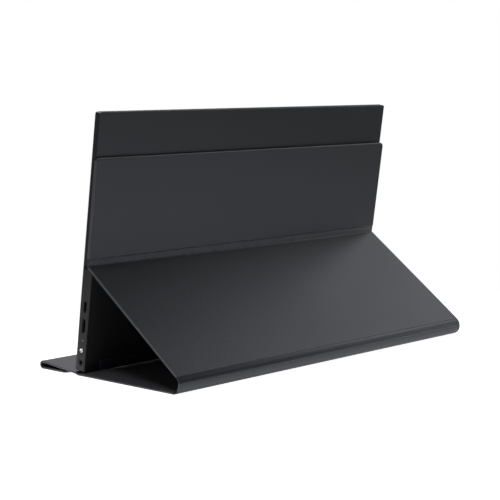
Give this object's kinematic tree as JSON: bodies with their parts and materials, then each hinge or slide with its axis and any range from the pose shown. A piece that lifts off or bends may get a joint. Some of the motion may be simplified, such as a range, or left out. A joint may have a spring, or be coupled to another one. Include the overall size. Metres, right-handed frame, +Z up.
{
  "type": "portable monitor with folding cover",
  "caption": "Flat portable monitor that leans back in a folded magnetic cover, with sockets on one side and a rounded fold behind it.",
  "frame": {"origin": "on the table, under the middle of the whole object's box", "axes": "+X along the width, towards the side with the audio jack; the screen faces -Y; +Z up"},
  "size_m": [0.3592, 0.174, 0.2159],
  "materials": {
    "bezel_plastic": "fine matt moulded plastic",
    "screen_glass": "anti-glare screen, switched off",
    "anodised_back": "dark grey, blasted and anodised",
    "housing_plastic": "fine matt moulded plastic",
    "sheet_plastic": "plastic film and frame",
    "lamp_strip": "lamp strip",
    "plain_steel": "plated sheet steel",
    "polished_metal": "polished plated metal",
    "circuit_board": "circuit board",
    "chip_plastic": "moulded black plastic",
    "cable_film": "flat cable and wire",
    "foot_rubber": "matt ribbed rubber",
    "leatherette": "fine grained leatherette, dark grey",
    "lining_cloth": "short napped lining, grey",
    "stiff_card": "stiffening board"
  },
  "bodies": {
    "monitor": {"front_bezel": "bezel_plastic", "panel_tape": "sheet_plastic", "lcd_cell": "screen_glass", "diffuser_sheet": "sheet_plastic", "prism_sheet": "sheet_plastic", "light_guide": "sheet_plastic", "reflector_sheet": "sheet_plastic", "led_strip": "lamp_strip", "panel_frame": "sheet_plastic", "panel_backplate": "plain_steel", "panel_board": "circuit_board", "panel_cable": "cable_film", "rear_cover": "anodised_back", "keeper_plates": "plain_steel", "lower_housing": "housing_plastic", "rubber_foot": "foot_rubber", "housing_screws": "plain_steel", "main_board": "circuit_board", "board_chips": "chip_plastic", "heat_spreader": "plain_steel", "board_screws": "plain_steel", "video_socket": "plain_steel", "usb_sockets": "plain_steel", "audio_jack": "chip_plastic", "power_switch": "plain_steel", "status_light": "sheet_plastic", "key_board": "circuit_board", "board_cable": "cable_film", "speakers": "chip_plastic", "speaker_wires": "cable_film"},
    "power_key": {"power_button": "polished_metal"},
    "menu_key": {"menu_rocker": "housing_plastic"},
    "cover_upper": {"upper_skin": "leatherette", "upper_board": "stiff_card", "upper_magnets": "plain_steel", "upper_lining": "lining_cloth", "crease_top": "leatherette"},
    "cover_slope": {"slope_skin": "leatherette", "slope_board": "stiff_card", "slope_lining": "lining_cloth", "crease_spine_upper": "leatherette"},
    "cover_spine": {"spine_skin": "leatherette", "spine_board": "stiff_card", "spine_lining": "lining_cloth", "crease_spine_lower": "leatherette"},
    "cover_base": {"base_skin": "leatherette", "base_board": "stiff_card", "base_lining": "lining_cloth", "crease_groove": "leatherette"},
    "cover_lip": {"lip_skin": "leatherette", "lip_board": "stiff_card", "lip_lining": "lining_cloth", "crease_nose": "lining_cloth"},
    "cover_flap": {"flap_skin": "leatherette", "flap_board": "stiff_card", "flap_magnets": "plain_steel", "flap_lining": "lining_cloth"}
  },
  "joints": [
    {"name": "cover_release", "type": "slide", "parent": "monitor", "child": "cover_upper", "axis": [0, 0.9866, -0.1633], "range_m": [0, 0.04]},
    {"name": "upper_fold", "type": "hinge", "parent": "cover_upper", "child": "cover_slope", "pos_m": [0, -0.01797, 0.09178], "axis": [1, 0, 0], "range_deg": [0, 110], "deforming": ["crease_top"]},
    {"name": "spine_upper_fold", "type": "hinge", "parent": "cover_slope", "child": "cover_spine", "pos_m": [0, 0.08513, 0.012], "axis": [1, 0, 0], "range_deg": [0, 71], "deforming": ["crease_spine_upper"]},
    {"name": "spine_lower_fold", "type": "hinge", "parent": "cover_spine", "child": "cover_base", "pos_m": [0, 0.08175, 0.00128], "axis": [1, 0, 0], "range_deg": [0, 71], "deforming": ["crease_spine_lower"]},
    {"name": "groove_fold", "type": "hinge", "parent": "cover_base", "child": "cover_lip", "pos_m": [0, -0.03835, 0.0014], "axis": [1, 0, 0], "range_deg": [-8, 90], "deforming": ["crease_groove"]},
    {"name": "nose_fold", "type": "hinge", "parent": "cover_lip", "child": "cover_flap", "pos_m": [0, -0.08702, 0.0034], "axis": [1, 0, 0], "range_deg": [-174, 0], "deforming": ["crease_nose"]},
    {"name": "power_press", "type": "slide", "parent": "monitor", "child": "power_key", "axis": [-1, 0, 0], "range_m": [0, 0.0004], "stiffness_N_per_m": 3000},
    {"name": "menu_tip", "type": "hinge", "parent": "monitor", "child": "menu_key", "pos_m": [-0.1746, -0.02893, 0.04027], "axis": [0, 0.9866, -0.1633], "range_deg": [-2.5, 2.5], "stiffness_Nm_per_rad": 0.5}
  ]
}
